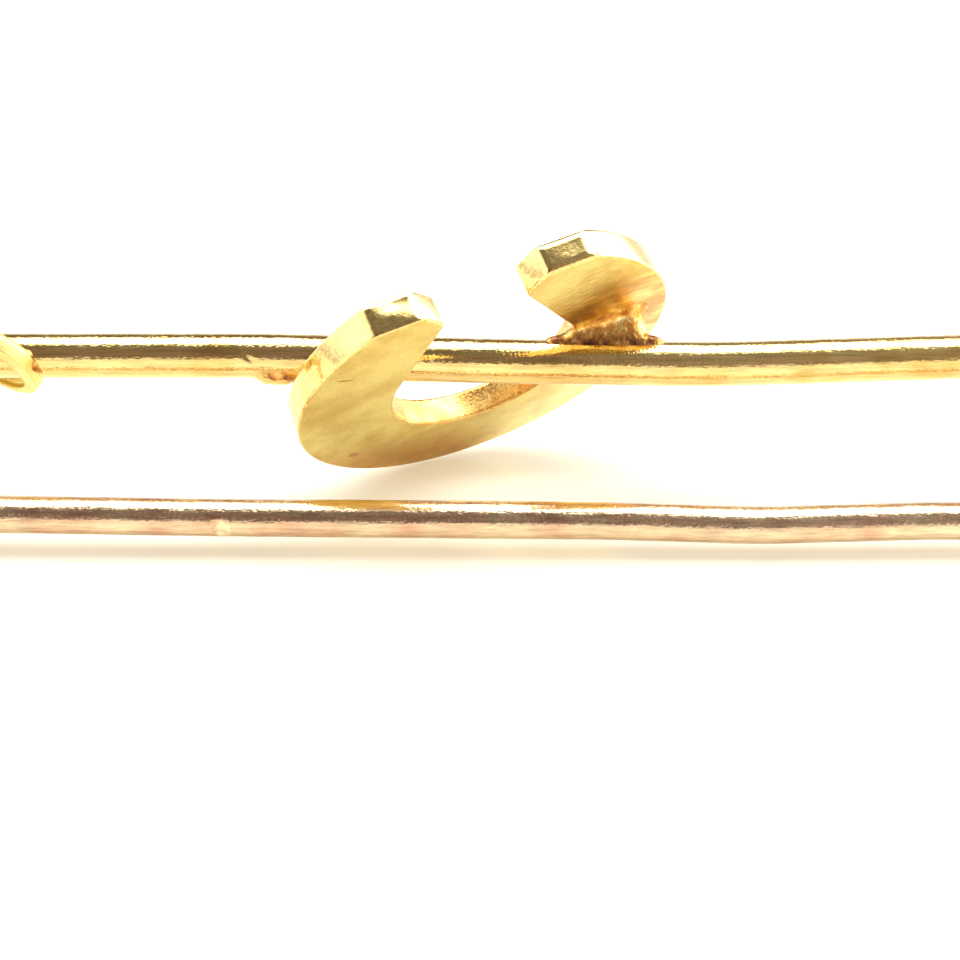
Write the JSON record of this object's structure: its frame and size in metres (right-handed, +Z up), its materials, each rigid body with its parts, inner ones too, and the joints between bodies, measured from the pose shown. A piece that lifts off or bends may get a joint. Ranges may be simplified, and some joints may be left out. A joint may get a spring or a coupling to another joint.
{
  "type": "bar brooch",
  "caption": "Slim gold bar brooch with a crescent threaded over its round wire bar, a small cup motif, and a hinged pin stem that closes into a plain catch.",
  "frame": {"origin": "on the table, at the middle of the brooch's footprint as it lies", "axes": "+X along the bar towards the hinge, +Z up from the table, -Y towards the pin stem, which is the side that the picture is taken from"},
  "size_m": [0.05, 0.0092, 0.0088],
  "materials": {
    "yellow_gold": "polished and worn yellow gold, satin on the crescent's back",
    "rose_gold": "drawn and worn rose gold wire",
    "rivet_gold": "filed yellow gold"
  },
  "bodies": {
    "brooch": {"brooch_frame": "yellow_gold", "hinge_rivet": "rivet_gold"},
    "pin": {"pin_stem": "rose_gold"}
  },
  "joints": [
    {"name": "pin_hinge", "type": "hinge", "parent": "brooch", "child": "pin", "pos_m": [0.022, -0.00329, 0.00095], "axis": [0, -0.7327, 0.6805], "range_deg": [0, 110]}
  ]
}
